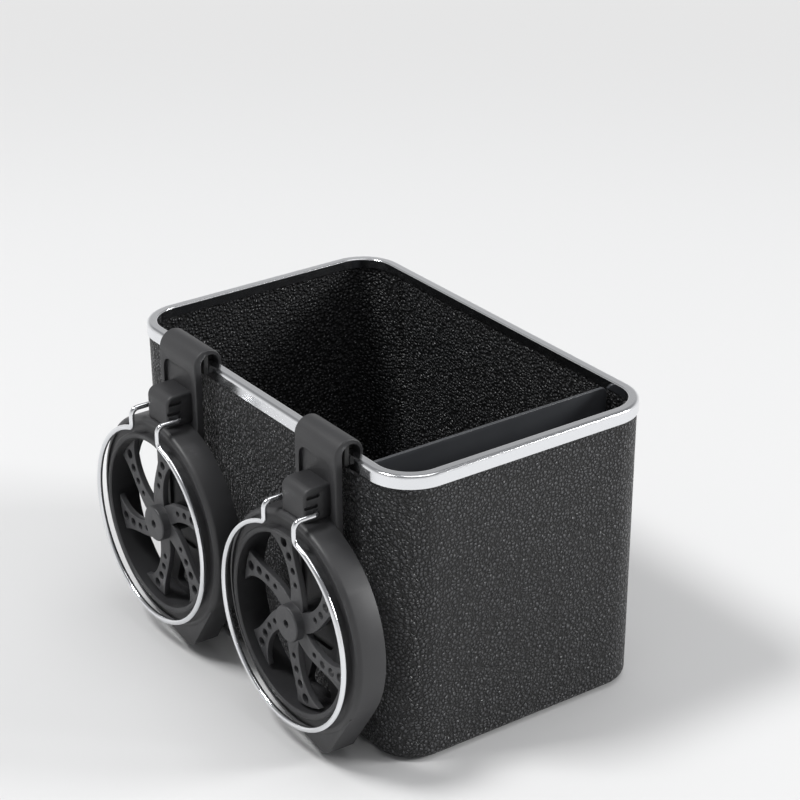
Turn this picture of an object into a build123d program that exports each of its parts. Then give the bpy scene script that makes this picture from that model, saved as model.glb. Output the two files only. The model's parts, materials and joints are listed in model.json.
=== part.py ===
from build123d import *
from math import acos, asin, atan2, cos, degrees, pi, radians, sin, sqrt, tan
import os

# Car armrest box: an open, leather-covered box with a chrome rim, a slot divider and two
# folding cup holders that hang over its near long side. Millimetres, +Z up, +X towards the
# slot end, -Y towards the cup holders, origin at the centre of the face the box stands on.

# Box, measured over the rim
box_length = 206.0
box_width = 132.0
box_height = 133.0
rim_corner_radius = 20.0
wall_draft = 0.65
base_edge_radius = 4.0

# Wall layers from the outside in, and the layers of the base
leather_thickness = 0.9
board_thickness = 1.6
lining_thickness = 0.7
floor_thickness = 2.0
floor_pad_thickness = 1.6
floor_pad_edge_radius = 0.6
base_pad_proud = 0.6
base_pad_edge_radius = 0.4
hem_width = 12.0
pad_clearance = 0.3
seam_gap = 0.5
seam_from_end = 28.5

# Chrome rim, a channel pressed over the edge of the wall
rim_sheet = 0.6
rim_play = 0.1
rim_outer_drop = 5.7
rim_inner_drop = 4.3
rim_outer_edge_radius = 1.4
rim_inner_edge_radius = 0.5

# Divider panel and the guides that hold its two edges
divider_from_end = 28.5
divider_below_rim = 3.4
divider_thickness = 1.5
divider_corner_radius = 3.0
divider_play = 0.2
guide_width = 7.5
guide_depth = 3.2
guide_web = 0.5
guide_below_rim = 34.0

# Cup holders: where they hang, and the loop of wire that takes the cup
holder_gap = 9.2
holder_shift = 3.0
loop_radius = 44.4
loop_to_rim = 25.0
wire_diameter = 2.4
leg_stand_off = 2.7
leg_foot_radius = 3.0
wire_bend_radius = 3.2
pivot_above_ring = 3.6
pivot_depth = 12.0
pivot_play = 0.05
pin_reach = 4.6
pin_end_gap = 0.4
pin_bend_gap = 0.3

# Ring housing, a moulded channel that is open at the back
ring_beyond_loop = 4.0
ring_inside_loop = 5.7
ring_bore_draft = 2.0
ring_front_depth = 4.6
ring_shoulder_radius = 2.2
ring_band = 0.4
ring_wall = 2.2
ring_front_wall = 2.2
lip_width = 2.5
lip_depth = 2.3
lip_edge = 0.5
groove_depth = 5.6
tail_angle = -67.0
tail_beyond_ring = 7.8
tail_tip_width = 5.0
tail_front_depth = 5.4
ring_boss_radius = 2.6
ring_boss_inset = 3.8

# Hook bracket: the plate behind the ring, bent over the rim at its top
plate_width = 29.2
plate_thickness = 3.3
plate_corner_radius = 8.0
plate_foot_inset = 0.8
hook_above_block = 13.0
hook_gap = 4.2
hook_tongue = 15.0
tongue_thickness = 1.4
tongue_play = 0.2
tongue_lead_in = 0.5
tongue_lead_height = 5.0
crown_rise = 0.4
bracket_edge_radius = 0.7
recess_depth = 1.5
recess_margin = 3.0
recess_corner_radius = 5.0
recess_below_rim = 3.0
recess_ring_gap = 0.9
lower_recess_foot = -14.0
window_height = 16.0
window_top_width = 7.0
window_foot_width = 19.0
window_corner_radius = 2.0
hook_pad_thickness = 2.2
hook_pad_drop = 4.4
hook_pad_play = 0.1
hook_pad_inset = 0.8
hook_seat_inset = 5.0

# Pivot block that the wire loop turns in
block_width = 16.6
block_front_depth = 6.7
block_above_pivot = 10.5
block_crown_radius = 4.2
block_edge_radius = 1.2
block_ring_play = 0.3
block_slot_length = 6.4
block_slot_width = 1.7
block_slot_depth = 1.3
block_slot_above_pivot = 2.4
block_slot_spacing = 4.4
block_slot_slant = 0.9
block_slot_set_forward = 1.9
block_screw_margin = 3.8
block_screw_above_pivot = 5.5

# Fan wheel, with swept blades that are drilled in growing sizes
blade_count = 6
blade_tip_gap = 1.1
blade_start_angle = 11.2
blade_sweep_per_mm = 0.87
blade_set_back = 4.2
blade_thickness = 2.6
blade_root_sink = 1.0
blade_root_half_width = 4.4
blade_waist_half_width = 3.7
blade_waist_share = 0.45
blade_flare_half_width = 5.0
blade_flare_share = 0.82
blade_tip_half_width = 8.2
blade_hole_count = 4
blade_hole_first_radius = 1.3
blade_hole_last_radius = 2.2
blade_hole_from_hub = 9.0
blade_hole_from_tip = 3.2
hub_radius = 8.0
hub_front_depth = 1.8
hub_length = 8.4
hub_edge_radius = 0.8

# Axle of the fan wheel, its boss on the bracket and its push-on retainer
axle_radius = 1.2
axle_play = 0.05
axle_fixed_play = 0.02
axle_head_radius = 2.6
axle_head_height = 1.2
axle_set_back = 2.2
axle_boss_radius = 6.0
axle_boss_gap = 0.3
retainer_width = 0.45
retainer_thickness = 0.8
retainer_gap = 0.15
retainer_set_back = 2.4

# Countersunk screws that hold the ring and the block to the bracket
screw_radius = 1.2
screw_play = 0.05
screw_head_radius = 2.4
screw_head_angle = 90.0
screw_length = 8.5
screw_end_gap = 0.5
screw_from_plate_edge = 5.6

# Worked out from the above: layer insets from the rim's outer edge, and levels
slope = tan(radians(wall_draft))
leather_inset = rim_sheet + rim_play
board_inset = leather_inset + leather_thickness
lining_inset = board_inset + board_thickness
cavity_inset = lining_inset + lining_thickness
rim_inner_inset = cavity_inset + rim_play
rim_width = rim_inner_inset + rim_sheet
wall_top = box_height - rim_sheet
base_pad_thickness = base_pad_proud + leather_thickness
cavity_floor = base_pad_thickness + floor_thickness
pad_top = cavity_floor + floor_pad_thickness
divider_x = box_length / 2 - divider_from_end
divider_top = box_height - divider_below_rim
guide_top = box_height - guide_below_rim
seam_x = seam_from_end - box_length / 2

# Holder depths count from the plane of the wire loop towards the box, heights from its centre
wire_radius = wire_diameter / 2
ring_outer_radius = loop_radius + ring_beyond_loop
ring_bore_radius = loop_radius - ring_inside_loop
bore_back_radius = ring_bore_radius + ring_bore_draft
lip_radius = ring_bore_radius + lip_width
shoulder_start = ring_outer_radius - ring_shoulder_radius
channel_floor = groove_depth + ring_front_wall
leg_place = block_width / 2 + leg_stand_off
pin_bend_radius = leg_stand_off - pin_bend_gap
pivot_level = ring_outer_radius + pivot_above_ring
block_top = pivot_level + block_above_pivot
rim_level = block_top + hook_above_block
loop_height = box_height - rim_level
loop_y = -box_width / 2 - loop_to_rim
holder_spacing = 2 * ring_outer_radius + holder_gap

plate_back = loop_to_rim - hook_gap
plate_front = plate_back - plate_thickness
plate_foot = plate_foot_inset - ring_outer_radius
recess_floor = plate_front + recess_depth
hook_room = hook_gap + rim_width + tongue_play
tongue_front = plate_back + hook_room
tongue_back = tongue_front + tongue_thickness
arch_level = rim_level + crown_rise
arch_inner_radius = hook_room / 2
arch_inner_centre = plate_back + arch_inner_radius
arch_outer_radius = (tongue_back - plate_front) / 2
arch_outer_centre = plate_front + arch_outer_radius
crown_top = arch_level + arch_outer_radius
upper_recess = (rim_level - recess_below_rim, ring_outer_radius - recess_ring_gap)
lower_recess = (ring_bore_radius - recess_ring_gap, lower_recess_foot)
window_foot = recess_ring_gap - ring_bore_radius
window_top = window_foot + window_height

hub_back = hub_front_depth + hub_length
hub_sink_radius = axle_radius + retainer_width + retainer_gap
retainer_front = hub_front_depth + retainer_set_back
retainer_back = retainer_front + retainer_thickness
hub_sink_depth = retainer_back + retainer_gap - hub_front_depth
axle_front = hub_front_depth + axle_set_back
boss_front = hub_back + axle_boss_gap
blade_front = hub_front_depth + blade_set_back
blade_root_radius = hub_radius - blade_root_sink
blade_tip_radius = ring_bore_radius - blade_tip_gap

screw_tip = plate_back - screw_length - screw_end_gap
ring_screw_across = plate_width / 2 - screw_from_plate_edge
ring_screw_up = sqrt((ring_outer_radius - ring_boss_inset) ** 2 - ring_screw_across**2)
block_screw_across = block_width / 2 - block_screw_margin
block_screw_up = pivot_level + block_screw_above_pivot
ring_screw_places = [
    (side * ring_screw_across, row * ring_screw_up) for side in (-1, 1) for row in (-1, 1)
]
block_screw_places = [(side * block_screw_across, block_screw_up) for side in (-1, 1)]

os.makedirs("parts", exist_ok=True)


def save(builder, node):
    """Labels a finished piece and writes its own STEP file."""
    builder.part.label = node
    export_step(builder.part, f"parts/{node}.step")


def box_outline(inset, mode=Mode.ADD):
    """Rounded rectangle, drawn in by inset from the rim's outer edge."""
    RectangleRounded(
        box_length - 2 * inset, box_width - 2 * inset, rim_corner_radius - inset, mode=mode
    )


def level_inset(inset, level):
    """How far a wall layer stands in from the rim's outer edge at a level."""
    return inset + (wall_top - level) * slope


def cavity_half_width(level):
    """Distance from the middle of the box to the lining of a long wall, at a level."""
    return box_width / 2 - level_inset(cavity_inset, level)


def tub(inset, bottom, edge_radius=0.0):
    """Solid outline of the box, drawn in by inset, whose walls lean in down to its base."""
    with BuildPart() as block:
        with BuildSketch(Plane.XY.offset(wall_top)):
            box_outline(inset)
        extrude(amount=wall_top - bottom, dir=(0, 0, -1), taper=wall_draft)
        if edge_radius > 0:
            fillet(block.faces().sort_by(Axis.Z)[0].edges(), edge_radius)
    return block.part


def holder_point(holder_x, across, depth, up):
    """Point of a holder, counted from the centre of its wire loop."""
    return Vector(holder_x + across, loop_y + depth, loop_height + up)


def front_plane(holder_x, depth):
    """Plane parallel to the wire loop, facing outwards, with its origin on the loop's axis."""
    return Plane(holder_point(holder_x, 0, depth, 0), x_dir=(1, 0, 0), z_dir=(0, -1, 0))


def side_plane(holder_x, across=0.0):
    """Plane across a holder: depth to the right and height above the loop's centre upwards."""
    return Plane(holder_point(holder_x, across, 0, 0), x_dir=(0, 1, 0), z_dir=(1, 0, 0))


def turning_plane(holder_x):
    """Plane through the loop's axis: radius to the right and depth upwards."""
    return Plane(holder_point(holder_x, 0, 0, 0), x_dir=(1, 0, 0), z_dir=(0, 0, 1))


def polar_point(radius, angle):
    """Point at a radius and an angle in degrees."""
    return (radius * cos(radians(angle)), radius * sin(radians(angle)))


def blade_point(radius, half_width, hand):
    """Point on a blade's edge: the blade sweeps round as it runs outwards."""
    angle = blade_start_angle + blade_sweep_per_mm * radius + degrees(asin(half_width / radius))
    across, up = polar_point(radius, angle)
    return (hand * across, up)


def blade_edge(side, hand):
    """Points along one edge of a blade, from the hub to the flared tip."""
    span = blade_tip_radius - blade_root_radius
    return [
        blade_point(blade_root_radius + share * span, side * half_width, hand)
        for share, half_width in (
            (0.0, blade_root_half_width),
            (blade_waist_share, blade_waist_half_width),
            (blade_flare_share, blade_flare_half_width),
            (1.0, blade_tip_half_width),
        )
    ]


def wire_bend(corner, come, go, radius):
    """Start, middle and end of the round bend where a wire turns square at a corner."""
    middle = 1 - 1 / sqrt(2)
    return corner - come * radius, corner + (go - come) * radius * middle, corner + go * radius


# Box: rigid shell, leather cover, lining, pads and rim
shell_outside = tub(board_inset, base_pad_thickness, base_edge_radius - leather_thickness)
shell_inside = tub(lining_inset, cavity_floor)
with BuildPart() as box_shell:
    add(shell_outside)
    add(shell_inside, mode=Mode.SUBTRACT)
save(box_shell, "box_shell")

cover_outside = tub(leather_inset, base_pad_proud, base_edge_radius)
with BuildPart() as outer_leather:
    add(cover_outside)
    add(shell_outside, mode=Mode.SUBTRACT)
    with BuildSketch():
        box_outline(level_inset(leather_inset, 0) + hem_width)
    extrude(amount=cavity_floor, mode=Mode.SUBTRACT)
save(outer_leather, "outer_leather")

lining_core = tub(cavity_inset, 0)
with BuildPart() as inner_lining:
    add(shell_inside)
    add(lining_core, mode=Mode.SUBTRACT)
    with BuildSketch(Plane.XZ):
        with Locations((seam_x, box_height / 2)):
            Rectangle(seam_gap, box_height)
    extrude(amount=-box_width / 2, mode=Mode.SUBTRACT)
save(inner_lining, "inner_lining")

with BuildPart() as floor_pad:
    with BuildSketch(Plane.XY.offset(cavity_floor)):
        box_outline(level_inset(cavity_inset, cavity_floor) + pad_clearance)
    extrude(amount=floor_pad_thickness)
    fillet(floor_pad.faces().sort_by(Axis.Z)[-1].edges(), floor_pad_edge_radius)
save(floor_pad, "floor_pad")

with BuildPart() as base_pad:
    with BuildSketch():
        box_outline(level_inset(leather_inset, 0) + hem_width + pad_clearance)
    extrude(amount=base_pad_thickness)
    chamfer(base_pad.faces().sort_by(Axis.Z)[0].edges(), base_pad_edge_radius)
save(base_pad, "base_pad")

with BuildPart() as rim_trim:
    with BuildSketch(Plane.XY.offset(box_height)):
        box_outline(0)
        box_outline(rim_width, mode=Mode.SUBTRACT)
    extrude(amount=-rim_outer_drop)
    inner_edges, outer_edges = [
        wire.edges() for wire in rim_trim.faces().sort_by(Axis.Z)[-1].wires().sort_by(SortBy.LENGTH)
    ]
    fillet(outer_edges, rim_outer_edge_radius)
    fillet(inner_edges, rim_inner_edge_radius)
    with BuildSketch(Plane.XY.offset(wall_top)):
        box_outline(rim_sheet)
        box_outline(rim_inner_inset, mode=Mode.SUBTRACT)
    extrude(amount=-rim_outer_drop, mode=Mode.SUBTRACT)
    with BuildSketch(Plane.XY.offset(box_height - rim_inner_drop)):
        box_outline(rim_sheet)
    extrude(amount=-rim_outer_drop, mode=Mode.SUBTRACT)
save(rim_trim, "rim_trim")

# Divider panel, standing on the floor pad between two grooved guides
panel_foot = cavity_half_width(pad_top) - guide_web - divider_play
panel_head = cavity_half_width(divider_top) - guide_web - divider_play
with BuildPart() as divider_panel:
    with BuildSketch(Plane.YZ.offset(divider_x)) as panel_face:
        Polygon(
            (-panel_foot, pad_top),
            (panel_foot, pad_top),
            (panel_head, divider_top),
            (-panel_head, divider_top),
            align=None,
        )
        fillet(panel_face.vertices().group_by(Axis.Y)[-1], divider_corner_radius)
    extrude(amount=divider_thickness / 2, both=True)
save(divider_panel, "divider_panel")

for guide_name, wall_sign in (("near", -1), ("far", 1)):
    with BuildPart() as divider_guide:
        for half_width, start, mode in (
            (guide_width / 2, 0.0, Mode.ADD),
            (divider_thickness / 2 + divider_play, guide_web, Mode.SUBTRACT),
        ):
            with BuildSketch(Plane.YZ.offset(divider_x)):
                Polygon(
                    (wall_sign * (cavity_half_width(pad_top) - start), pad_top),
                    (wall_sign * (cavity_half_width(guide_top) - start), guide_top),
                    (wall_sign * (cavity_half_width(guide_top) - guide_depth), guide_top),
                    (wall_sign * (cavity_half_width(pad_top) - guide_depth), pad_top),
                    align=None,
                )
            extrude(amount=half_width, both=True, mode=mode)
    save(divider_guide, f"divider_guide_{guide_name}")

# Cup holders: the same pieces on both, with the blades swept opposite ways
for holder, holder_x, hand in (
    ("left", holder_shift - holder_spacing / 2, -1),
    ("right", holder_shift + holder_spacing / 2, 1),
):
    # Hook bracket: bent profile, then its recesses, window, axle boss and screw holes
    with BuildPart() as hook_bracket:
        with BuildSketch(side_plane(holder_x)):
            with BuildLine():
                Polyline(
                    (plate_back, arch_level),
                    (plate_back, plate_foot),
                    (plate_front, plate_foot),
                    (plate_front, arch_level),
                )
                CenterArc((arch_outer_centre, arch_level), arch_outer_radius, 180, -180)
                Polyline(
                    (tongue_back, arch_level),
                    (tongue_back, rim_level - hook_tongue),
                    (tongue_front + tongue_lead_in, rim_level - hook_tongue),
                    (tongue_front, rim_level - hook_tongue + tongue_lead_height),
                    (tongue_front, arch_level),
                )
                CenterArc((arch_inner_centre, arch_level), arch_inner_radius, 0, 180)
            make_face()
        extrude(amount=plate_width / 2, both=True)
        fillet(hook_bracket.edges().filter_by(Axis.Y).group_by(Axis.Z)[0], plate_corner_radius)
        crown = hook_bracket.faces().filter_by(GeomType.CYLINDER).sort_by(Axis.Z)[-1]
        fillet(crown.edges().filter_by(GeomType.CIRCLE), bracket_edge_radius)
        for top, foot in (upper_recess, lower_recess):
            with BuildSketch(front_plane(holder_x, recess_floor)):
                with Locations((0, (top + foot) / 2)):
                    RectangleRounded(
                        plate_width - 2 * recess_margin, top - foot, recess_corner_radius
                    )
            extrude(amount=recess_depth, mode=Mode.SUBTRACT)
        with BuildSketch(front_plane(holder_x, plate_back)) as window:
            Polygon(
                (-window_foot_width / 2, window_foot),
                (window_foot_width / 2, window_foot),
                (window_top_width / 2, window_top),
                (-window_top_width / 2, window_top),
                align=None,
            )
            fillet(window.vertices(), window_corner_radius)
        extrude(amount=plate_thickness, mode=Mode.SUBTRACT)
        with BuildSketch(front_plane(holder_x, recess_floor)):
            Circle(axle_boss_radius)
        extrude(amount=recess_floor - boss_front)
        back_face = front_plane(holder_x, plate_back) * Rot(180, 0, 0)
        with Locations(back_face):
            CounterBoreHole(
                axle_radius + axle_fixed_play, axle_head_radius + axle_fixed_play, axle_head_height
            )
        with Locations(*[back_face * Pos(x, -y) for x, y in ring_screw_places + block_screw_places]):
            CounterSinkHole(
                screw_radius + screw_play,
                screw_head_radius + screw_play,
                counter_sink_angle=screw_head_angle,
            )
    save(hook_bracket, f"hook_bracket_{holder}")

    # Soft pad inside the hook: a strip down the rim's outer face and a shorter seat on its top
    pad_arch_radius = arch_inner_radius - hook_pad_play
    pad_face = loop_to_rim - hook_pad_play
    pad_front = pad_face - hook_pad_thickness
    with BuildPart() as hook_pad:
        for half_width, back, bottom in (
            (plate_width / 2 - hook_pad_inset, pad_face, rim_level - hook_pad_drop),
            (plate_width / 2 - hook_seat_inset, tongue_front - hook_pad_play, rim_level + hook_pad_play),
        ):
            with BuildSketch(side_plane(holder_x)):
                with Locations((arch_inner_centre, arch_level)):
                    Circle(pad_arch_radius)
                    Rectangle(
                        2 * pad_arch_radius, arch_level - bottom, align=(Align.CENTER, Align.MAX)
                    )
                with Locations((pad_front, bottom)):
                    Rectangle(
                        back - pad_front,
                        crown_top - bottom,
                        align=(Align.MIN, Align.MIN),
                        mode=Mode.INTERSECT,
                    )
            extrude(amount=half_width, both=True)
    save(hook_pad, f"hook_pad_{holder}")

    # Ring housing: turned channel with a lip and a groove, a pointed tail and screw bosses
    tip_radius = sqrt((ring_outer_radius + tail_beyond_ring) ** 2 + (tail_tip_width / 2) ** 2)
    tip_turn = degrees(asin(tail_tip_width / 2 / tip_radius))
    tangent_turn = tip_turn + degrees(acos(ring_outer_radius / tip_radius))
    with BuildPart() as ring_housing:
        with BuildSketch(turning_plane(holder_x)):
            with BuildLine():
                Polyline(
                    (ring_outer_radius, ring_front_depth + ring_shoulder_radius),
                    (ring_outer_radius, plate_front),
                    (ring_outer_radius - ring_wall, plate_front),
                    (ring_outer_radius - ring_wall, channel_floor),
                    (bore_back_radius + ring_wall, channel_floor),
                    (bore_back_radius + ring_wall, plate_front),
                    (bore_back_radius, plate_front),
                    (ring_bore_radius, lip_depth + lip_edge),
                    (ring_bore_radius + lip_edge, lip_depth),
                    (lip_radius - lip_edge, lip_depth),
                    (lip_radius, lip_depth + lip_edge),
                    (lip_radius, groove_depth),
                    (shoulder_start - ring_band, groove_depth),
                    (shoulder_start - ring_band, ring_front_depth),
                    (shoulder_start, ring_front_depth),
                )
                CenterArc(
                    (shoulder_start, ring_front_depth + ring_shoulder_radius),
                    ring_shoulder_radius,
                    -90,
                    90,
                )
            make_face()
        revolve(axis=Axis(holder_point(holder_x, 0, 0, 0), (0, 1, 0)))
        with BuildSketch(front_plane(holder_x, plate_front)):
            Polygon(
                polar_point(ring_outer_radius, tail_angle - tangent_turn),
                polar_point(tip_radius, tail_angle - tip_turn),
                polar_point(tip_radius, tail_angle + tip_turn),
                polar_point(ring_outer_radius, tail_angle + tangent_turn),
                align=None,
            )
            Circle(ring_outer_radius - ring_wall, mode=Mode.SUBTRACT)
        extrude(amount=plate_front - tail_front_depth)
        with BuildSketch(front_plane(holder_x, plate_front)):
            with Locations(*ring_screw_places):
                Circle(ring_boss_radius)
        extrude(amount=plate_front - channel_floor)
        with BuildSketch(front_plane(holder_x, plate_front)):
            with Locations(*ring_screw_places):
                Circle(screw_radius + screw_play)
        extrude(amount=plate_front - screw_tip, mode=Mode.SUBTRACT)
    save(ring_housing, f"ring_housing_{holder}")

    # Pivot block: crowned, hollowed to the ring below it, with bores for the wire's two pins
    with BuildPart() as pivot_block:
        with BuildSketch(side_plane(holder_x)):
            with Locations((block_front_depth, ring_bore_radius)):
                Rectangle(
                    recess_floor - block_front_depth,
                    block_top - ring_bore_radius,
                    align=(Align.MIN, Align.MIN),
                )
        extrude(amount=block_width / 2, both=True)
        crown_edge = pivot_block.edges().filter_by(Axis.X).group_by(Axis.Z)[-1].sort_by(Axis.Y)[0]
        fillet(crown_edge, block_crown_radius)
        fillet(pivot_block.faces().filter_by(Axis.X).edges().group_by(Axis.Y)[0], block_edge_radius)
        with BuildSketch(front_plane(holder_x, recess_floor)):
            Circle(ring_outer_radius + block_ring_play)
        extrude(amount=recess_floor - block_front_depth, mode=Mode.SUBTRACT)
        for side in (-1, 1):
            with BuildSketch(side_plane(holder_x, side * block_width / 2)):
                with Locations((pivot_depth, pivot_level)):
                    Circle(wire_radius + pivot_play)
            extrude(amount=-side * (pin_reach + pin_end_gap), mode=Mode.SUBTRACT)
            with BuildSketch(side_plane(holder_x, side * block_width / 2)):
                for row in (0, 1):
                    slot_centre = pivot_depth - block_slot_set_forward + row * block_slot_slant
                    slot_level = pivot_level + block_slot_above_pivot + row * block_slot_spacing
                    with Locations((slot_centre, slot_level)):
                        SlotOverall(block_slot_length, block_slot_width)
            extrude(amount=-side * block_slot_depth, mode=Mode.SUBTRACT)
        with BuildSketch(front_plane(holder_x, recess_floor)):
            with Locations(*block_screw_places):
                Circle(screw_radius + screw_play)
        extrude(amount=recess_floor - screw_tip, mode=Mode.SUBTRACT)
    save(pivot_block, f"pivot_block_{holder}")

    # Wire loop: a round hoop, open at the top, whose ends rise, turn back and enter the block
    foot_place = leg_place + leg_foot_radius
    foot_level = sqrt((loop_radius + leg_foot_radius) ** 2 - foot_place**2)
    foot_share = loop_radius / (loop_radius + leg_foot_radius)
    foot_middle_turn = pi + atan2(foot_level, foot_place) / 2
    forwards, down = Vector(0, -1, 0), Vector(0, 0, -1)
    with BuildPart() as wire_bail:
        with BuildLine() as wire_path:
            hoop_ends = []
            for side in (1, -1):
                pin_end = holder_point(
                    holder_x, side * (block_width / 2 - pin_reach), pivot_depth, pivot_level
                )
                pin_corner = holder_point(holder_x, side * leg_place, pivot_depth, pivot_level)
                pin_bend = wire_bend(pin_corner, Vector(side, 0, 0), forwards, pin_bend_radius)
                leg_corner = holder_point(holder_x, side * leg_place, 0, pivot_level)
                leg_bend = wire_bend(leg_corner, forwards, down, wire_bend_radius)
                leg_foot = holder_point(holder_x, side * leg_place, 0, foot_level)
                foot_middle = holder_point(
                    holder_x,
                    side * (foot_place + leg_foot_radius * cos(foot_middle_turn)),
                    0,
                    foot_level + leg_foot_radius * sin(foot_middle_turn),
                )
                hoop_end = holder_point(
                    holder_x, side * foot_place * foot_share, 0, foot_level * foot_share
                )
                Line(pin_end, pin_bend[0])
                ThreePointArc(*pin_bend)
                Line(pin_bend[-1], leg_bend[0])
                ThreePointArc(*leg_bend)
                Line(leg_bend[-1], leg_foot)
                ThreePointArc(leg_foot, foot_middle, hoop_end)
                hoop_ends.append(hoop_end)
            ThreePointArc(hoop_ends[0], holder_point(holder_x, 0, 0, -loop_radius), hoop_ends[1])
        wire = wire_path.wires()[0]
        with BuildSketch(Plane(origin=wire @ 0, z_dir=wire % 0)):
            Circle(wire_radius)
        sweep(path=wire)
    save(wire_bail, f"wire_bail_{holder}")

    # Fan wheel: swept, drilled blades round a proud hub
    with BuildPart() as fan_wheel:
        with BuildSketch(front_plane(holder_x, blade_front + blade_thickness)):
            with BuildSketch(mode=Mode.PRIVATE) as blade:
                with BuildLine():
                    upper_edge = blade_edge(1, hand)
                    lower_edge = blade_edge(-1, hand)
                    Spline(*upper_edge)
                    ThreePointArc(
                        upper_edge[-1], blade_point(blade_tip_radius, 0, hand), lower_edge[-1]
                    )
                    Spline(*lower_edge)
                    Line(upper_edge[0], lower_edge[0])
                make_face()
                first_place = hub_radius + blade_hole_from_hub
                last_place = blade_tip_radius - blade_hole_from_tip
                for hole in range(blade_hole_count):
                    share = hole / (blade_hole_count - 1)
                    place = first_place + share * (last_place - first_place)
                    growth = share * (blade_hole_last_radius - blade_hole_first_radius)
                    with Locations(blade_point(place, 0, hand)):
                        Circle(blade_hole_first_radius + growth, mode=Mode.SUBTRACT)
            with PolarLocations(0, blade_count):
                add(blade.sketch)
            Circle(hub_radius)
        extrude(amount=blade_thickness)
        with BuildSketch(front_plane(holder_x, hub_back)):
            Circle(hub_radius)
        extrude(amount=hub_length)
        fillet(fan_wheel.faces().sort_by(Axis.Y)[0].edges(), hub_edge_radius)
        with Locations(front_plane(holder_x, hub_front_depth)):
            CounterBoreHole(axle_radius + axle_play, hub_sink_radius, hub_sink_depth)
    save(fan_wheel, f"fan_wheel_{holder}")

    # Axle, headed at the back of the bracket, and the retainer pushed onto its front end
    with BuildPart() as fan_axle:
        with BuildSketch(front_plane(holder_x, plate_back)):
            Circle(axle_head_radius)
        extrude(amount=axle_head_height)
        with BuildSketch(front_plane(holder_x, plate_back)):
            Circle(axle_radius)
        extrude(amount=plate_back - axle_front)
    save(fan_axle, f"fan_axle_{holder}")

    with BuildPart() as fan_retainer:
        with BuildSketch(front_plane(holder_x, retainer_back)):
            Circle(axle_radius + retainer_width)
            Circle(axle_radius + axle_fixed_play, mode=Mode.SUBTRACT)
        extrude(amount=retainer_thickness)
    save(fan_retainer, f"fan_retainer_{holder}")

    # Screws through the bracket into the ring's bosses and the block
    head_height = (screw_head_radius - screw_radius) / tan(radians(screw_head_angle / 2))
    from_head = (Align.CENTER, Align.CENTER, Align.MIN)
    with BuildPart() as holder_screws:
        for place in ring_screw_places + block_screw_places:
            with Locations(front_plane(holder_x, plate_back) * Pos(*place)):
                Cone(screw_head_radius, screw_radius, head_height, align=from_head)
                Cylinder(screw_radius, screw_length, align=from_head)
    save(holder_screws, f"holder_screws_{holder}")
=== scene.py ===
import json
import math

import bmesh
import bpy
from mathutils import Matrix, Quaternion, Vector


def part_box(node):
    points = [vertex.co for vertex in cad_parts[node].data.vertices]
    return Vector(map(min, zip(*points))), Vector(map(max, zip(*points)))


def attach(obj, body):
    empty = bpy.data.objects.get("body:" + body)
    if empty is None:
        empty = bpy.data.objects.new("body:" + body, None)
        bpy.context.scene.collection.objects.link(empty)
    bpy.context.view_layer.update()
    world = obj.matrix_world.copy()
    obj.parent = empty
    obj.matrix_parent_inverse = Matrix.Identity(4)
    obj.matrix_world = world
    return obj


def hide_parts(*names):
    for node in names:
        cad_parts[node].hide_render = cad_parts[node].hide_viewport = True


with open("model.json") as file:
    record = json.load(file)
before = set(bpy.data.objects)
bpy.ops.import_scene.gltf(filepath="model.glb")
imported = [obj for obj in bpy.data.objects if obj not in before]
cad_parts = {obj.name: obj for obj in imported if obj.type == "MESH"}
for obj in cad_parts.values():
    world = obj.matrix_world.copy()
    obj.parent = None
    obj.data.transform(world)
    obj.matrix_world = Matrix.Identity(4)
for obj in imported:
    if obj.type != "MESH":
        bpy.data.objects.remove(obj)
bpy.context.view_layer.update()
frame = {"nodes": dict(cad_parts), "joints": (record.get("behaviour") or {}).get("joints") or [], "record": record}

# Looks of a leather-covered armrest box with a chrome rim and two cup holders. Lengths below are in
# millimetres and become metres as a mesh is made, so they read like the drawing of the part.
MM = 0.001
nodes = frame["nodes"]
joints = {joint["name"]: joint for joint in frame["joints"]}
HOLDERS = ("left", "right")

# Box, as drawn: outer edge of the rim, and how far each layer stands in from it
rim_low, rim_high = (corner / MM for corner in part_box("rim_trim"))
HALF_LENGTH, HALF_WIDTH, BOX_HEIGHT = rim_high
RIM_BOTTOM = rim_low.z
RIM_CORNER = 20.0
RIM_SHEET = 0.6
RIM_WIDTH = 4.6
RIM_INNER_DROP = 4.3
RIM_OUTER_EDGE = 1.4
RIM_INNER_EDGE = 0.5
RIM_LEAD = 0.3
WALL_SLOPE = math.tan(math.radians(0.65))
WALL_TOP = BOX_HEIGHT - RIM_SHEET
LEATHER_INSET = 0.7
LEATHER_THICKNESS = 0.9
LEATHER_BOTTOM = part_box("outer_leather")[0].z / MM
LEATHER_HEM = 12.0
BASE_EDGE = 4.0
LINING_INSET = 3.9
LINING_THICKNESS = 0.7
LINING_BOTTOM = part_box("inner_lining")[0].z / MM
SEAM_FROM_END = 28.5
SEAM_HALF_WIDTH = 0.6
SEAM_SWELL = 0.9
SEAM_ROLL = 2.2
SEAM_DEPTH = 0.6

# Wire loop of a cup holder: each end is domed over its last stretch, down to a share of the radius
WIRE_RADIUS = 1.2
WIRE_END_REACH = 0.3
WIRE_END_SHARE = 0.7
LEG_PLACE = 11.0
LEG_FOOT_RADIUS = 3.0
LEG_BEND = 3.2
PIN_BEND = 2.4
PIN_REACH = 7.3

# Fineness of the made meshes
CORNER_STEPS = 20
SIDE_STEPS = 24
WALL_ROWS = 28
EDGE_STEPS = 8
TUBE_SIDES = 20
BEND_STEPS = 8
HOOP_STEPS = 120

# Edges: the folds that shade as sharp, and how carried-over nodes are cleaned and softened
SHARP_FOLD = math.radians(40)
SHARP_SHEET_FOLD = math.radians(60)
WELD_GAP = 0.002
FLAT_FOLD = math.radians(0.3)
EDGE_ROUND = 0.35
EDGE_SEGMENTS = 3
EDGE_FOLD = math.radians(35)

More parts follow.
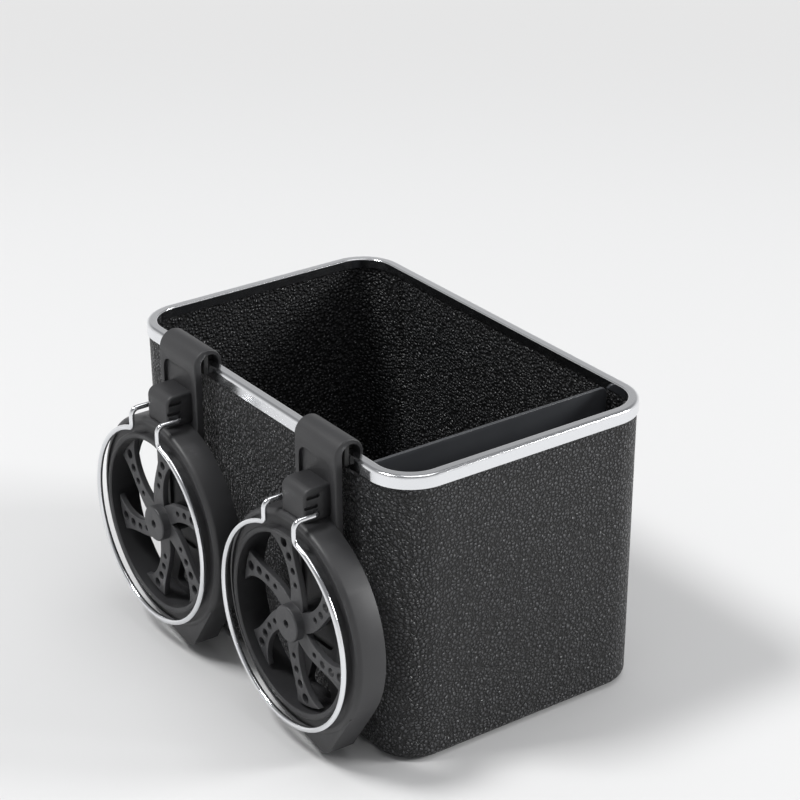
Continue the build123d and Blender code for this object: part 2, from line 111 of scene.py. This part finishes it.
# Leather grain: sizes in millimetres, the drift of the pebbles as shares of their size, and the painted shade of
# creases and pebble sides
PEBBLE_SIZE = 1.65
PEBBLE_DEPTH = 1.15
PEBBLE_GLOSS = 0.26
PEBBLE_VARIETY = 0.95
PEBBLE_BLEND = 0.3
PEBBLE_SPREAD = 0.75
DRIFT_SIZE = 2.0
DRIFT_REACH = 1.1
# Painted shade: the colour that creases and pebble sides darken to, standing in for the shade that falls in them
PAINTED_CREASE_SHADE = (0.001, 0.001, 0.0015)
CREASE_WIDTH = 0.3
CREASE_DULLNESS = 0.3
PORE_SIZE = 0.3
PATCH_SIZE = 9.0
HEIGHT_WEIGHTS = (0.45, 0.55, 0.06)
# Painted shade mix: weights of pebble edge, pebble dome and random patch, then the range stretched to full tone
SHADE_AND_PATCH_WEIGHTS = (0.5, 0.4, 0.2)
SHADE_AND_PATCH_RANGE = (0.3, 0.95)

# Moulded plastic: broad flow marks, and how far the roughness varies
FLOW_MARK_SIZE = 14.0
FLOW_MARK_SHADE = 0.86
DULL_WEIGHTS = (0.1, 0.14)
DULL_RANGE = (0.05, 0.19)
DULL_SPREAD = (-0.05, 0.06)

# Chrome, steel and felt: marks in millimetres, and the range that noise mostly keeps to
NOISE_RANGE = (0.3, 0.7)
CHROME_COLOR = (0.83, 0.84, 0.86)
RUB_MARK_SIZE = 1.1
PEEL_SIZE = 6.0
PEEL_DEPTH = 0.02
PEEL_STRENGTH = 0.5
STEEL_ROUGHNESS = 0.35
STEEL_ROUGH_RANGE = (0.28, 0.45)
TURNING_MARK_SIZE = 0.4
TURNING_MARK_DEPTH = 0.02
FELT_ROUGHNESS = 0.95
FELT_SHEEN = 0.3
PILE_SIZE = 0.5
PILE_DEPTH = 0.3
PILE_PALER = 1.8

# Camera of the view, in metres
CAMERA_PLACE = Vector((0.7842, -0.5483, 0.5655))
CAMERA_AIM = Vector((-0.7369, 0.5228, -0.4285))
CAMERA_ROLL = math.radians(-0.35)
CAMERA_LENS = 110.2
CAMERA_SENSOR = 36.0
CAMERA_CLIP = (0.01, 50.0)

# Studio: the light from all round, the backdrop and ceiling that are seen, the floor, and the lamps,
# each with its place, aim, size and power
SKY_LOW = (0.08, 0.08, 0.085)
SKY_HIGH = (0.38, 0.384, 0.392)
SKY_RISE = (-0.1, 0.75)
BACKDROP = (0.8, 0.8, 0.8)
CEILING = (0.25, 0.252, 0.258)
CEILING_RISE = (0.1, 0.65)
FLOOR_COLOR = (0.72, 0.72, 0.72)
FLOOR_ROUGHNESS = 0.9
FLOOR_REACH = 6.0
FLOOR_FADE = (0.5, 1.2)
LAMPS = {
    "key": ((-0.6, -1.2, 2.3), (0.0, -0.05, 0.07), 0.6, 44.0),
    "side": ((1.7, 2.0, 1.15), (0.02, 0.0, 0.07), 0.8, 46.0),
    "top": ((0.2, 0.4, 2.7), (0.0, 0.0, 0.05), 1.6, 16.0),
}


def add_node(tree, kind, inputs=None, **settings):
    """Adds a node, sets it up, and links or sets its inputs."""
    node = tree.nodes.new(kind)
    for name, value in settings.items():
        setattr(node, name, value)
    for name, value in (inputs or {}).items():
        if isinstance(value, bpy.types.NodeSocket):
            tree.links.new(value, node.inputs[name])
        else:
            node.inputs[name].default_value = value
    return node


def new_material(name, color, roughness, **sockets):
    """A principled material, with its node tree and its shader."""
    made = bpy.data.materials.new(name)
    made.use_nodes = True
    shader = made.node_tree.nodes["Principled BSDF"]
    shader.inputs["Base Color"].default_value = (*color, 1)
    shader.inputs["Roughness"].default_value = roughness
    for socket, value in sockets.items():
        shader.inputs[socket.replace("_", " ")].default_value = value
    return made, made.node_tree, shader


def object_noise(tree, size, detail=3.0, roughness=0.5):
    """Noise in the object's own space, with features of about that size in millimetres."""
    place = add_node(tree, "ShaderNodeTexCoord")
    return add_node(
        tree,
        "ShaderNodeTexNoise",
        {
            "Vector": place.outputs["Object"],
            "Scale": 1 / (size * MM),
            "Detail": detail,
            "Roughness": roughness,
        },
    )


def remap(tree, value, from_low, from_high, to_low, to_high, smooth=False):
    """Value remapped from one range to another, clamped."""
    node = add_node(
        tree,
        "ShaderNodeMapRange",
        {"From Min": from_low, "From Max": from_high, "To Min": to_low, "To Max": to_high},
        interpolation_type="SMOOTHSTEP" if smooth else "LINEAR",
    )
    tree.links.new(value, node.inputs["Value"])
    return node.outputs["Result"]


def two_tone(tree, share, low, high):
    """Colour that goes from low to high, each a colour or a socket, with a share from 0 to 1."""
    node = add_node(tree, "ShaderNodeMix", data_type="RGBA")
    tree.links.new(share, node.inputs["Factor"])
    color_inputs = [socket for socket in node.inputs if socket.type == "RGBA"]
    for socket, color in zip(color_inputs, (low, high)):
        if isinstance(color, bpy.types.NodeSocket):
            tree.links.new(color, socket)
        else:
            socket.default_value = (*color, 1)
    return [socket for socket in node.outputs if socket.type == "RGBA"][0]


def set_bump(tree, shader, height, depth, strength=1.0):
    """Bump on the shader, depth in millimetres."""
    bump = add_node(
        tree,
        "ShaderNodeBump",
        {"Height": height, "Distance": depth * MM, "Strength": strength},
    )
    tree.links.new(bump.outputs["Normal"], shader.inputs["Normal"])


def sum_of(tree, *weighted):
    """Weighted sum of values."""
    total = None
    for value, weight in weighted:
        part = add_node(tree, "ShaderNodeMath", {0: value, 1: weight}, operation="MULTIPLY").outputs[0]
        if total is None:
            total = part
        else:
            total = add_node(tree, "ShaderNodeMath", {0: total, 1: part}, operation="ADD").outputs[0]
    return total


def leather(name, top):
    """Pebble-grained leather: raised, uneven pebbles in the bump, with painted shade darkening the creases and
    each pebble's sides, and random lighter and darker patches.
    """
    made, tree, shader = new_material(name, top, PEBBLE_GLOSS)
    place = add_node(tree, "ShaderNodeTexCoord").outputs["Object"]
    drift = object_noise(tree, PEBBLE_SIZE * DRIFT_SIZE, detail=2.0)
    reach = PEBBLE_SIZE * MM * DRIFT_REACH
    shift = add_node(
        tree,
        "ShaderNodeVectorMath",
        {0: drift.outputs["Color"], 1: (reach, reach, reach)},
        operation="MULTIPLY",
    )
    warped = add_node(tree, "ShaderNodeVectorMath", {0: place, 1: shift.outputs[0]}, operation="ADD")
    cells = {
        "Vector": warped.outputs[0],
        "Scale": 1 / (PEBBLE_SIZE * MM),
        "Randomness": PEBBLE_VARIETY,
    }
    edge = add_node(tree, "ShaderNodeTexVoronoi", cells, feature="DISTANCE_TO_EDGE")
    soft_cells = {**cells, "Smoothness": PEBBLE_BLEND}
    dome = add_node(tree, "ShaderNodeTexVoronoi", soft_cells, feature="SMOOTH_F1")
    raised = remap(tree, edge.outputs["Distance"], 0.0, CREASE_WIDTH, 0.0, 1.0, smooth=True)
    crown = remap(tree, dome.outputs["Distance"], 0.0, PEBBLE_SPREAD, 1.0, 0.0, smooth=True)
    pores = object_noise(tree, PORE_SIZE).outputs["Fac"]
    patches = object_noise(tree, PATCH_SIZE).outputs["Fac"]
    height = sum_of(tree, *zip((raised, crown, pores), HEIGHT_WEIGHTS))
    set_bump(tree, shader, height, PEBBLE_DEPTH)
    # Painted shade: the base colour darkens into the creases and down each pebble's sides, with random patches
    # mixed in
    crease_shade_and_patches = sum_of(tree, *zip((raised, crown, patches), SHADE_AND_PATCH_WEIGHTS))
    painted_shade_and_patches = remap(tree, crease_shade_and_patches, *SHADE_AND_PATCH_RANGE, 0.0, 1.0)
    tree.links.new(two_tone(tree, painted_shade_and_patches, PAINTED_CREASE_SHADE, top), shader.inputs["Base Color"])
    dull = remap(tree, raised, 0.0, 1.0, PEBBLE_GLOSS + CREASE_DULLNESS, PEBBLE_GLOSS)
    tree.links.new(dull, shader.inputs["Roughness"])
    return made


def moulded(name, color, roughness, grain=0.16, depth=0.03):
    """Moulded plastic with a fine even texture and faint broad flow marks."""
    made, tree, shader = new_material(name, color, roughness)
    fine = object_noise(tree, grain, detail=2.0).outputs["Fac"]
    flow = object_noise(tree, FLOW_MARK_SIZE, detail=2.0).outputs["Fac"]
    set_bump(tree, shader, fine, depth)
    dull = sum_of(tree, *zip((fine, flow), DULL_WEIGHTS))
    low, high = (roughness + spread for spread in DULL_SPREAD)
    tree.links.new(remap(tree, dull, *DULL_RANGE, low, high), shader.inputs["Roughness"])
    dark = tuple(FLOW_MARK_SHADE * part for part in color)
    tree.links.new(two_tone(tree, flow, dark, color), shader.inputs["Base Color"])
    return made


def chrome(name, smooth, rubbed):
    """Polished chrome with a faint orange peel and hair-fine rub marks."""
    made, tree, shader = new_material(name, CHROME_COLOR, smooth, Metallic=1.0)
    rub = object_noise(tree, RUB_MARK_SIZE, detail=5.0, roughness=0.7).outputs["Fac"]
    peel = object_noise(tree, PEEL_SIZE, detail=1.0).outputs["Fac"]
    tree.links.new(remap(tree, rub, *NOISE_RANGE, smooth, rubbed), shader.inputs["Roughness"])
    set_bump(tree, shader, peel, PEEL_DEPTH, PEEL_STRENGTH)
    return made


def felt(name, color):
    """Short-pile felt."""
    made, tree, shader = new_material(name, color, FELT_ROUGHNESS, Sheen_Weight=FELT_SHEEN)
    pile = object_noise(tree, PILE_SIZE, detail=6.0, roughness=0.75).outputs["Fac"]
    pale = tuple(PILE_PALER * part for part in color)
    tree.links.new(two_tone(tree, pile, color, pale), shader.inputs["Base Color"])
    set_bump(tree, shader, pile, PILE_DEPTH)
    return made


def steel(name, color):
    """Blackened steel with fine turning marks."""
    made, tree, shader = new_material(name, color, STEEL_ROUGHNESS, Metallic=1.0)
    marks = object_noise(tree, TURNING_MARK_SIZE, detail=4.0).outputs["Fac"]
    tree.links.new(remap(tree, marks, *NOISE_RANGE, *STEEL_ROUGH_RANGE), shader.inputs["Roughness"])
    set_bump(tree, shader, marks, TURNING_MARK_DEPTH)
    return made


MATERIALS = {
    "leather": leather("pebble_leather", (0.08, 0.081, 0.086)),
    "lining": leather("grained_lining", (0.06, 0.061, 0.065)),
    "chrome_trim": chrome("chrome_trim", smooth=0.11, rubbed=0.19),
    "chrome_wire": chrome("chrome_wire", smooth=0.07, rubbed=0.14),
    "moulded_black": moulded("moulded_charcoal", (0.034, 0.034, 0.036), roughness=0.46),
    "wheel_black": moulded("wheel_charcoal", (0.05, 0.05, 0.053), roughness=0.42),
    "divider": moulded(
        "satin_divider", (0.055, 0.058, 0.064), roughness=0.36, grain=0.3, depth=0.02
    ),
    "board": moulded("shell_board", (0.03, 0.03, 0.03), roughness=0.6),
    "pad_rubber": moulded("pad_rubber", (0.018, 0.018, 0.018), roughness=0.62, grain=0.25),
    "base_rubber": moulded(
        "base_rubber", (0.024, 0.024, 0.024), roughness=0.68, grain=0.5, depth=0.1
    ),
    "floor_felt": felt("floor_felt", (0.012, 0.012, 0.013)),
    "pin_steel": steel("pin_steel", (0.05, 0.05, 0.052)),
}
SLOT_OF = {part["node"]: part["material_slot"] for part in frame["record"]["subparts"]}


def piece(name, points, faces, node, body="box", sharp=SHARP_FOLD):
    """Mesh from points in millimetres that stands for a node, with its finish, on its body."""
    mesh = bpy.data.meshes.new(name)
    mesh.from_pydata([Vector(point) * MM for point in points], [], faces)
    shell = bmesh.new()
    shell.from_mesh(mesh)
    bmesh.ops.recalc_face_normals(shell, faces=shell.faces)
    shell.to_mesh(mesh)
    shell.free()
    mesh.shade_smooth()
    mesh.set_sharp_from_angle(angle=sharp)
    made = bpy.data.objects.new(name, mesh)
    bpy.context.scene.collection.objects.link(made)
    mesh.materials.append(MATERIALS[SLOT_OF[node]])
    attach(made, body)
    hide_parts(node)
    return made


def loft(rings):
    """Points and faces of a closed skin through rings, joined round from the last to the first."""
    count = len(rings[0])
    faces = []
    for row in range(len(rings)):
        here, there = row * count, (row + 1) % len(rings) * count
        for step in range(count):
            ahead = (step + 1) % count
            faces.append((here + step, here + ahead, there + ahead, there + step))
    return [point for ring in rings for point in ring], faces


def arc(centre, radius, start, end, steps):
    """Points on an arc in a plane, angles in degrees."""
    turns = [math.radians(start + (end - start) * step / steps) for step in range(steps + 1)]
    return [(centre[0] + radius * math.cos(t), centre[1] + radius * math.sin(t)) for t in turns]


def outline(inset):
    """Points round the box, drawn in by inset from the rim's outer edge."""
    radius = RIM_CORNER - inset
    reach = (HALF_LENGTH - RIM_CORNER, HALF_WIDTH - RIM_CORNER)
    corners = ((1, 1), (-1, 1), (-1, -1), (1, -1))
    points = []
    for quarter, (across, along) in enumerate(corners):
        centre = (across * reach[0], along * reach[1])
        points += arc(centre, radius, quarter * 90, quarter * 90 + 90, CORNER_STEPS)
        after = corners[(quarter + 1) % 4]
        start = points[-1]
        turn = math.radians(quarter * 90 + 90)
        end = (
            after[0] * reach[0] + radius * math.cos(turn),
            after[1] * reach[1] + radius * math.sin(turn),
        )
        for step in range(1, SIDE_STEPS):
            share = step / SIDE_STEPS
            points.append(tuple(a + (b - a) * share for a, b in zip(start, end)))
    return points


def wall_inset(inset, level):
    """How far a wall layer stands in from the rim's outer edge at a level."""
    return inset + (WALL_TOP - level) * WALL_SLOPE


def levels(top, foot):
    """Levels down a wall, from top to foot."""
    return [top + (foot - top) * row / WALL_ROWS for row in range(WALL_ROWS + 1)]


def rings_along(profile):
    """Rings round the box through (inset, level) points."""
    return [[(x, y, level) for x, y in outline(inset)] for inset, level in profile]


def make_rim():
    """Chrome channel with rounded edges, over the top of the wall."""
    top, width = BOX_HEIGHT, RIM_WIDTH
    outer, inner = RIM_OUTER_EDGE, RIM_INNER_EDGE
    profile = [(0.0, RIM_BOTTOM), (0.0, top - outer - RIM_LEAD)]
    profile += arc((outer, top - outer), outer, 180, 90, EDGE_STEPS)
    profile += [(outer + RIM_LEAD, top), (width - inner - RIM_LEAD, top)]
    profile += arc((width - inner, top - inner), inner, 90, 0, EDGE_STEPS)
    profile += [
        (width, top - inner - RIM_LEAD),
        (width, top - RIM_INNER_DROP),
        (width - RIM_SHEET, top - RIM_INNER_DROP),
        (width - RIM_SHEET, WALL_TOP),
        (RIM_SHEET, WALL_TOP),
        (RIM_SHEET, RIM_BOTTOM),
    ]
    return piece("rim", *loft(rings_along(profile)), "rim_trim")


def make_leather():
    """Cover: up the wall to under the rim, round the base's edge and in under it."""
    foot = LEATHER_BOTTOM + BASE_EDGE
    outer, inner = LEATHER_INSET, LEATHER_INSET + LEATHER_THICKNESS
    profile = [(wall_inset(outer, level), level) for level in levels(WALL_TOP, foot)]
    bend = (wall_inset(outer, foot) + BASE_EDGE, foot)
    profile += arc(bend, BASE_EDGE, 180, 270, 2 * EDGE_STEPS)[1:]
    hem = wall_inset(outer, 0) + LEATHER_HEM
    profile += [(hem, LEATHER_BOTTOM), (hem, LEATHER_BOTTOM + LEATHER_THICKNESS)]
    profile += arc(bend, BASE_EDGE - LEATHER_THICKNESS, 270, 180, EDGE_STEPS)
    profile += [(wall_inset(inner, WALL_TOP), WALL_TOP)]
    return piece("leather_cover", *loft(rings_along(profile)), "outer_leather", sharp=SHARP_SHEET_FOLD)


def make_lining():
    """Lining of the wall, with one upright seam where its two ends meet and roll in."""
    profile = [(wall_inset(LINING_INSET, z), z) for z in levels(WALL_TOP, LINING_BOTTOM)]
    outer = LINING_INSET - LINING_THICKNESS
    profile += [(wall_inset(outer, z), z) for z in (LINING_BOTTOM, WALL_TOP)]
    seam = SEAM_FROM_END - HALF_LENGTH
    rings = []
    for row, (inset, level) in enumerate(profile):
        ring = [(x, y, level) for x, y in outline(inset)]
        near = next(k for k, point in enumerate(ring) if point[1] > 0 and point[0] < seam - SEAM_ROLL)
        far_y = ring[near][1]
        if row <= WALL_ROWS:
            swell, dip = SEAM_SWELL, SEAM_DEPTH
        else:
            swell, dip = 0.0, 0.0
        ring[near:near] = [
            (seam + SEAM_ROLL, far_y, level),
            (seam + 2 * SEAM_HALF_WIDTH, far_y - swell, level),
            (seam + SEAM_HALF_WIDTH, far_y - swell / 2, level),
            (seam, far_y + dip, level),
            (seam - SEAM_HALF_WIDTH, far_y - swell / 2, level),
            (seam - 2 * SEAM_HALF_WIDTH, far_y - swell, level),
            (seam - SEAM_ROLL, far_y, level),
        ]
        rings.append(ring)
    return piece("wall_lining", *loft(rings), "inner_lining", sharp=SHARP_SHEET_FOLD)


def tube(path):
    """Points and faces of a round wire along a path, with domed ends."""
    points, faces = [], []
    side = None
    for step, place in enumerate(path):
        before, after = path[max(step - 1, 0)], path[min(step + 1, len(path) - 1)]
        along = (after - before).normalized()
        if side is None:
            side = along.orthogonal().normalized()
        side = (side - along * side.dot(along)).normalized()
        other = along.cross(side)
        at_end = step in (0, len(path) - 1)
        radius = WIRE_RADIUS * (WIRE_END_SHARE if at_end else 1.0)
        for corner in range(TUBE_SIDES):
            turn = 2 * math.pi * corner / TUBE_SIDES
            points.append(place + (side * math.cos(turn) + other * math.sin(turn)) * radius)
    for step in range(len(path) - 1):
        for corner in range(TUBE_SIDES):
            ahead = (corner + 1) % TUBE_SIDES
            here, there = step * TUBE_SIDES, (step + 1) * TUBE_SIDES
            faces.append((here + corner, here + ahead, there + ahead, there + corner))
    faces.append(tuple(range(TUBE_SIDES)))
    faces.append(tuple(range(len(points) - TUBE_SIDES, len(points))))
    return points, faces


def bend(corner, come, go, radius):
    """Points round a square bend of a wire at a corner."""
    centre = corner - come * radius + go * radius
    points = []
    for step in range(BEND_STEPS + 1):
        turn = math.pi / 2 * step / BEND_STEPS
        points.append(centre - go * radius * math.cos(turn) + come * radius * math.sin(turn))
    return points


def make_wire(holder):
    """Chromed wire loop: a hoop, open at its top, whose ends rise, turn back and enter the block."""
    centre = Vector(joints[f"fan_{holder}_spin"]["pos_m"]) / MM
    pivot = Vector(joints[f"bail_{holder}_swing"]["pos_m"]) / MM
    low, high = (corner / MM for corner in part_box(f"wire_bail_{holder}"))
    hoop_radius = (high.x - low.x) / 2 - WIRE_RADIUS
    foot_x = LEG_PLACE + LEG_FOOT_RADIUS
    foot_up = math.sqrt((hoop_radius + LEG_FOOT_RADIUS) ** 2 - foot_x**2)
    foot_turn = math.degrees(math.atan2(foot_up, foot_x))
    forwards, down = Vector((0, -1, 0)), Vector((0, 0, -1))
    ends = []
    for side in (1, -1):
        outwards = Vector((side, 0, 0))
        pin_corner = Vector((centre.x + side * LEG_PLACE, pivot.y, pivot.z))
        leg_corner = Vector((centre.x + side * LEG_PLACE, centre.y, pivot.z))
        route = [pin_corner - outwards * reach for reach in (PIN_REACH, PIN_REACH - WIRE_END_REACH)]
        route += bend(pin_corner, outwards, forwards, PIN_BEND)
        route += bend(leg_corner, forwards, down, LEG_BEND)
        for x, z in arc((foot_x, foot_up), LEG_FOOT_RADIUS, 180, 180 + foot_turn, BEND_STEPS):
            route.append(Vector((centre.x + side * x, centre.y, centre.z + z)))
        ends.append(route)
    hoop = [
        Vector((centre.x + x, centre.y, centre.z + z))
        for x, z in arc((0, 0), hoop_radius, foot_turn, -180 - foot_turn, HOOP_STEPS)
    ]
    path = ends[0] + hoop[1:-1] + ends[1][::-1]
    return piece(f"wire_loop_{holder}", *tube(path), f"wire_bail_{holder}", body=f"bail_{holder}")


def dress(node):
    """Gives a carried-over node its finish, with softened edges."""
    shown = nodes[node]
    shown.data.materials.clear()
    shown.data.materials.append(MATERIALS[SLOT_OF[node]])
    shown.data.shade_smooth()
    weld = shown.modifiers.new("weld", "WELD")
    weld.merge_threshold = WELD_GAP * MM
    flat = shown.modifiers.new("flat", "DECIMATE")
    flat.decimate_type = "DISSOLVE"
    flat.angle_limit = FLAT_FOLD
    soft = shown.modifiers.new("soft_edges", "BEVEL")
    soft.width = EDGE_ROUND * MM
    soft.segments = EDGE_SEGMENTS
    soft.limit_method = "ANGLE"
    soft.angle_limit = EDGE_FOLD
    soft.harden_normals = True


make_rim()
make_leather()
make_lining()
for holder in HOLDERS:
    make_wire(holder)
for node in nodes:
    if not nodes[node].hide_render:
        dress(node)


def seen_share(tree):
    """One for rays that show the surround: to the camera, in a reflection or through glass."""
    path = add_node(tree, "ShaderNodeLightPath")
    share = path.outputs["Is Camera Ray"]
    for kind in ("Is Glossy Ray", "Is Transmission Ray"):
        both = add_node(tree, "ShaderNodeMath", {0: share, 1: path.outputs[kind]}, operation="MAXIMUM")
        share = both.outputs[0]
    return share


def make_floor():
    """Pale floor that takes the object's shadow and fades into the backdrop."""
    mesh = bpy.data.meshes.new("floor")
    mesh.from_pydata(
        [(x * FLOOR_REACH, y * FLOOR_REACH, 0) for x, y in ((-1, -1), (1, -1), (1, 1), (-1, 1))],
        [],
        [(0, 1, 2, 3)],
    )
    floor = bpy.data.objects.new("floor", mesh)
    bpy.context.scene.collection.objects.link(floor)
    paint, tree, shader = new_material("floor_paint", FLOOR_COLOR, FLOOR_ROUGHNESS)
    place = add_node(tree, "ShaderNodeTexCoord").outputs["Object"]
    away = add_node(tree, "ShaderNodeVectorMath", {0: place}, operation="LENGTH").outputs["Value"]
    far = remap(tree, away, *FLOOR_FADE, 0.0, 1.0, smooth=True)
    fade = add_node(tree, "ShaderNodeMath", {0: far, 1: seen_share(tree)}, operation="MULTIPLY")
    glow = add_node(tree, "ShaderNodeEmission", {"Color": (*BACKDROP, 1)})
    both = add_node(
        tree,
        "ShaderNodeMixShader",
        {0: fade.outputs[0], 1: shader.outputs["BSDF"], 2: glow.outputs["Emission"]},
    )
    tree.links.new(both.outputs[0], tree.nodes["Material Output"].inputs["Surface"])
    mesh.materials.append(paint)


def make_surround():
    """Soft light from all round, behind a pale backdrop that is darker overhead."""
    world = bpy.data.worlds.new("surround")
    world.use_nodes = True
    bpy.context.scene.world = world
    tree = world.node_tree
    aim = add_node(tree, "ShaderNodeTexCoord").outputs["Generated"]
    height = add_node(tree, "ShaderNodeSeparateXYZ", {0: aim}).outputs["Z"]
    sky = two_tone(tree, remap(tree, height, *SKY_RISE, 0.0, 1.0, smooth=True), SKY_LOW, SKY_HIGH)
    overhead = remap(tree, height, *CEILING_RISE, 0.0, 1.0, smooth=True)
    backdrop = two_tone(tree, overhead, BACKDROP, CEILING)
    shown = two_tone(tree, seen_share(tree), sky, backdrop)
    tree.links.new(shown, tree.nodes["Background"].inputs["Color"])


def make_lamp(name, place, aim, size, power):
    """Soft square lamp that shines from a place towards an aim."""
    data = bpy.data.lights.new(name, "AREA")
    data.size = size
    data.energy = power
    lamp = bpy.data.objects.new(name, data)
    bpy.context.scene.collection.objects.link(lamp)
    lamp.location = place
    lamp.rotation_euler = (Vector(aim) - Vector(place)).to_track_quat("-Z", "Y").to_euler()


def make_camera():
    """Camera at the view's angle."""
    data = bpy.data.cameras.new("camera")
    data.lens = CAMERA_LENS
    data.sensor_width = CAMERA_SENSOR
    data.clip_start, data.clip_end = CAMERA_CLIP
    camera = bpy.data.objects.new("camera", data)
    bpy.context.scene.collection.objects.link(camera)
    camera.location = CAMERA_PLACE
    turn = CAMERA_AIM.to_track_quat("-Z", "Y") @ Quaternion((0, 0, 1), CAMERA_ROLL)
    camera.rotation_euler = turn.to_euler()
    bpy.context.scene.camera = camera


make_floor()
make_surround()
for name, settings in LAMPS.items():
    make_lamp(name, *settings)
make_camera()
bpy.context.scene.view_settings.view_transform = "Standard"
